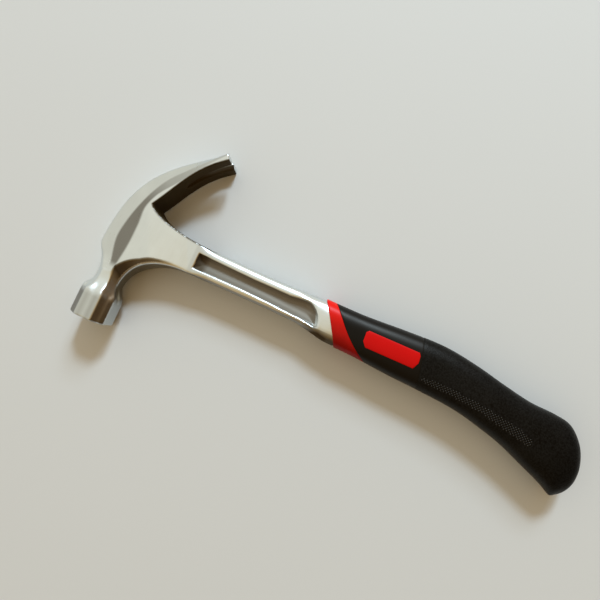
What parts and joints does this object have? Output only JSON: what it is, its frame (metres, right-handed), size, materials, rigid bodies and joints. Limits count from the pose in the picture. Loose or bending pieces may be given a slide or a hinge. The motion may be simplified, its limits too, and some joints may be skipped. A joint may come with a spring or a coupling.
{
  "type": "claw hammer",
  "caption": "Curved-claw hammer forged in one piece with its pocketed steel shank, and a moulded black grip with a red band.",
  "frame": {"origin": "centre of the striking face, on the hammer's middle plane", "axes": "+X along the handle towards the butt, +Y up the head from the striking face to the claw, +Z square to the flat side; the hammer lies on its -Z side"},
  "size_m": [0.3279, 0.1319, 0.026],
  "materials": {
    "steel": "satin polished forging",
    "red_plastic": "hard moulded nylon",
    "smooth_black": "smooth moulded plastic with a soft sheen",
    "black_rubber": "matte soft rubber with a fine grain"
  },
  "bodies": {
    "root": {"forging": "steel", "inner_sleeve": "red_plastic", "front_grip": "smooth_black", "rear_grip": "black_rubber", "side_labels": "red_plastic"}
  },
  "joints": []
}
